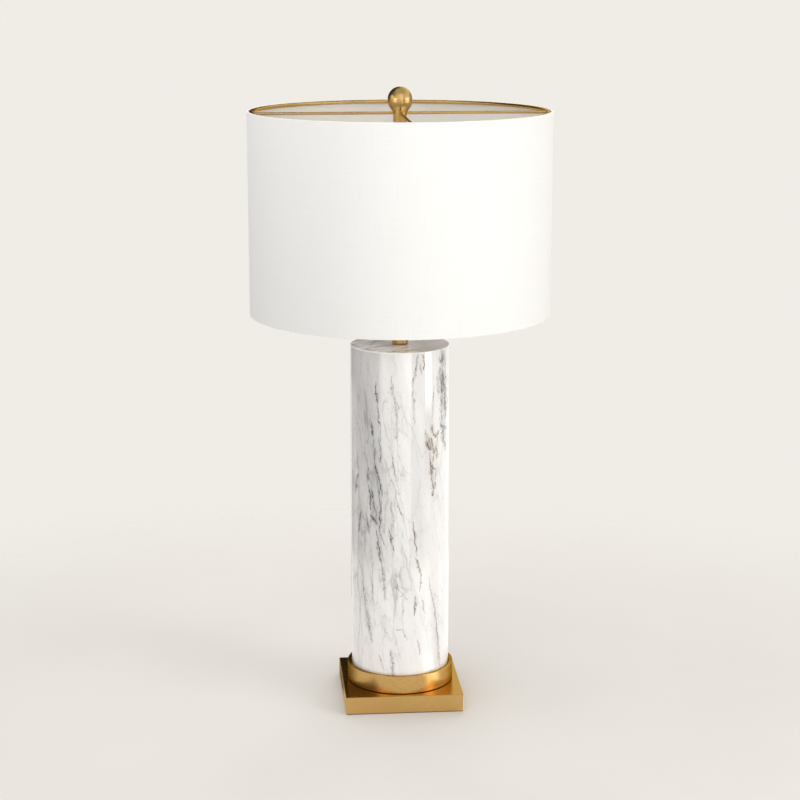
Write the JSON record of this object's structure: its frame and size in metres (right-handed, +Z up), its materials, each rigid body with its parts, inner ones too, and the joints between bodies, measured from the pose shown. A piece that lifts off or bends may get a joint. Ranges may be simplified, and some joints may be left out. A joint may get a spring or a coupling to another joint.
{
  "type": "column table lamp",
  "caption": "Column table lamp: white drum shade on a spider and harp, veined stone column in a round collar on a square metal base.",
  "frame": {"origin": "centre of the underside of the base pad, on the table", "axes": "+Z up along the column and the shade, +X to the right and -Y to the front, square to the base's sides"},
  "size_m": [0.381, 0.3808, 0.7962],
  "materials": {
    "satin_brass": "brushed satin, warm gold",
    "fitting_brass": "plain polished lamp fittings",
    "zinc_steel": "zinc plated",
    "white_wire": "white coated wire",
    "iron": "rough cast",
    "felt": "short felt",
    "black_plastic": "moulded",
    "marble": "polished white with grey veins",
    "fibre_card": "vulcanised fibre",
    "phenolic": "moulded phenolic",
    "bare_aluminium": "bright rolled",
    "dark_glass": "black glass insulator",
    "frosted_glass": "frosted white",
    "clear_glass": "clear",
    "linen": "fine white linen weave",
    "styrene": "white styrene lining"
  },
  "bodies": {
    "stand": {"base_plate": "satin_brass", "base_pad": "felt", "base_weight": "iron", "cord_bushing": "black_plastic", "collar": "satin_brass", "marble_column": "marble", "centring_disc": "zinc_steel", "threaded_pipe": "zinc_steel", "clamp_washer": "zinc_steel", "clamp_nut": "zinc_steel", "neck": "satin_brass", "harp_saddle": "fitting_brass", "lock_washer": "fitting_brass", "saddle_nut": "fitting_brass", "socket_cap": "fitting_brass", "socket_shell": "fitting_brass", "socket_liner": "fibre_card", "switch_body": "phenolic", "switch_bushing": "fitting_brass", "terminal_screws": "zinc_steel", "screw_shell": "bare_aluminium", "centre_contact": "fitting_brass", "harp": "fitting_brass", "harp_stud": "satin_brass"},
    "switch_key": {"switch_shaft": "fitting_brass", "switch_knob": "phenolic"},
    "sleeve_left": {"harp_sleeve_left": "fitting_brass"},
    "sleeve_right": {"harp_sleeve_right": "fitting_brass"},
    "bulb": {"bulb_contact": "zinc_steel", "bulb_insulator": "dark_glass", "bulb_cap": "bare_aluminium", "bulb_glass": "frosted_glass", "bulb_stem": "clear_glass", "bulb_leads": "zinc_steel", "bulb_filament": "zinc_steel"},
    "shade": {"shade_fabric": "linen", "shade_liner": "styrene", "shade_top_ring": "satin_brass", "shade_bottom_ring": "white_wire", "shade_hub": "satin_brass", "shade_arms": "satin_brass"},
    "finial": {"finial": "satin_brass"}
  },
  "joints": [
    {"name": "switch_turn", "type": "hinge", "parent": "stand", "child": "switch_key", "pos_m": [0, -0.03, 0.5301], "axis": [0, -1, 0], "continuous": true},
    {"name": "sleeve_left_lift", "type": "slide", "parent": "stand", "child": "sleeve_left", "axis": [0, 0, 1], "range_m": [0, 0.012]},
    {"name": "sleeve_right_lift", "type": "slide", "parent": "stand", "child": "sleeve_right", "axis": [0, 0, 1], "range_m": [0, 0.012]},
    {"name": "bulb_turn", "type": "hinge", "parent": "stand", "child": "bulb", "pos_m": [0, 0, 0.56], "axis": [0, 0, 1], "continuous": true},
    {"name": "shade_turn", "type": "hinge", "parent": "stand", "child": "shade", "pos_m": [0, 0, 0.758], "axis": [0, 0, 1], "continuous": true},
    {"name": "finial_turn", "type": "hinge", "parent": "stand", "child": "finial", "pos_m": [0, 0, 0.775], "axis": [0, 0, 1], "continuous": true}
  ]
}
